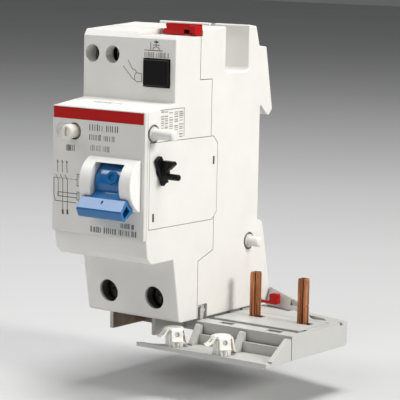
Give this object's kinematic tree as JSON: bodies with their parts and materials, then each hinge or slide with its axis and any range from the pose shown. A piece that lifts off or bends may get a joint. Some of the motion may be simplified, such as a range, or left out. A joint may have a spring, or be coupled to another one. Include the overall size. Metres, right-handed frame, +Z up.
{
  "type": "residual current device",
  "caption": "Add-on residual current device for a DIN rail: toggle, test button and trip fork beside a bay with copper pins that takes a miniature circuit breaker",
  "frame": {"origin": "middle of the rail slot, on the face that meets the rail, on the middle of the body's width", "axes": "+X to the right seen from the front, towards the breaker bay; +Y from the front to the rail; +Z up"},
  "size_m": [0.07, 0.0734, 0.0965],
  "materials": {
    "housing_plastic": "fine-grained warm grey-white",
    "face_plastic": "satin warm grey",
    "red_plastic": "satin red",
    "blue_plastic": "satin blue",
    "black_plastic": "satin black",
    "button_plastic": "cream",
    "tray_plastic": "light grey",
    "plug_plastic": "translucent white",
    "copper": "bare copper",
    "steel": "zinc plated",
    "relay_case": "dark moulded",
    "ferrite": "coated core",
    "board": "green laminate",
    "resistor_body": "lacquered"
  },
  "bodies": {
    "base": {"aux_terminal_cage_1": "steel", "aux_terminal_cage_2": "steel", "aux_terminal_screws": "steel", "base_tray": "tray_plastic", "busbar_1": "copper", "busbar_2": "copper", "capacitor": "relay_case", "circuit_board": "board", "contact_pin_1": "copper", "contact_pin_2": "copper", "contact_plate": "tray_plastic", "face_plate": "face_plastic", "flap_hinge_pins": "steel", "front_housing": "housing_plastic", "load_conductor_1": "copper", "load_conductor_2": "copper", "lower_dowel": "housing_plastic", "rear_housing": "housing_plastic", "red_stripe": "red_plastic", "release_button_spring": "steel", "side_cover": "housing_plastic", "terminal_cage_1": "steel", "terminal_cage_2": "steel", "terminal_screws": "steel", "test_button_spring": "steel", "test_contact_spring": "steel", "test_resistor": "resistor_body", "toggle_axle": "steel", "toggle_spring": "steel", "transformer_core": "ferrite", "transformer_winding": "copper", "trip_relay": "relay_case", "upper_dowel": "housing_plastic"},
    "toggle": {"toggle_lever": "blue_plastic"},
    "test_key": {"test_button": "button_plastic"},
    "release_key": {"release_button": "black_plastic"},
    "trip_rotor": {"trip_coupler": "black_plastic", "trip_shaft": "black_plastic", "trip_crank": "black_plastic"},
    "plunger": {"relay_plunger": "black_plastic"},
    "upper_lock": {"top_clip": "red_plastic"},
    "lower_lock": {"bottom_clip": "red_plastic"},
    "flap": {"terminal_flap": "tray_plastic", "screw_plug_1": "plug_plastic", "screw_plug_2": "plug_plastic"}
  },
  "joints": [
    {"name": "toggle_hinge", "type": "hinge", "parent": "base", "child": "toggle", "pos_m": [0.0065, -0.05436, -0.00265], "axis": [-1, 0, 0], "range_deg": [0, 70]},
    {"name": "test_button_press", "type": "slide", "parent": "base", "child": "test_key", "axis": [0, 1, 0], "range_m": [0, 0.0017], "stiffness_N_per_m": 500, "springref_m": -0.0005, "deforming": ["test_button_spring"]},
    {"name": "release_button_press", "type": "slide", "parent": "base", "child": "release_key", "axis": [0, 1, 0], "range_m": [0, 0.0022], "stiffness_N_per_m": 400, "springref_m": -0.0005, "deforming": ["release_button_spring"]},
    {"name": "trip_hinge", "type": "hinge", "parent": "base", "child": "trip_rotor", "pos_m": [0.0135, -0.0508, 0.0014], "axis": [1, 0, 0], "range_deg": [0, 15]},
    {"name": "plunger_slide", "type": "slide", "parent": "base", "child": "plunger", "axis": [0, -1, 0], "range_m": [0, 0.0011]},
    {"name": "top_clip_slide", "type": "slide", "parent": "base", "child": "upper_lock", "axis": [1, 0, 0], "range_m": [0, 0.006]},
    {"name": "bottom_clip_slide", "type": "slide", "parent": "base", "child": "lower_lock", "axis": [-1, 0, 0], "range_m": [0, 0.003]},
    {"name": "flap_hinge", "type": "hinge", "parent": "base", "child": "flap", "pos_m": [0.035, -0.0306, -0.052], "axis": [1, 0, 0], "range_deg": [0, 80]}
  ],
  "couplings": [
    {"joint": "trip_hinge", "follows": "plunger_slide", "rad_per_m": 237.9}
  ]
}
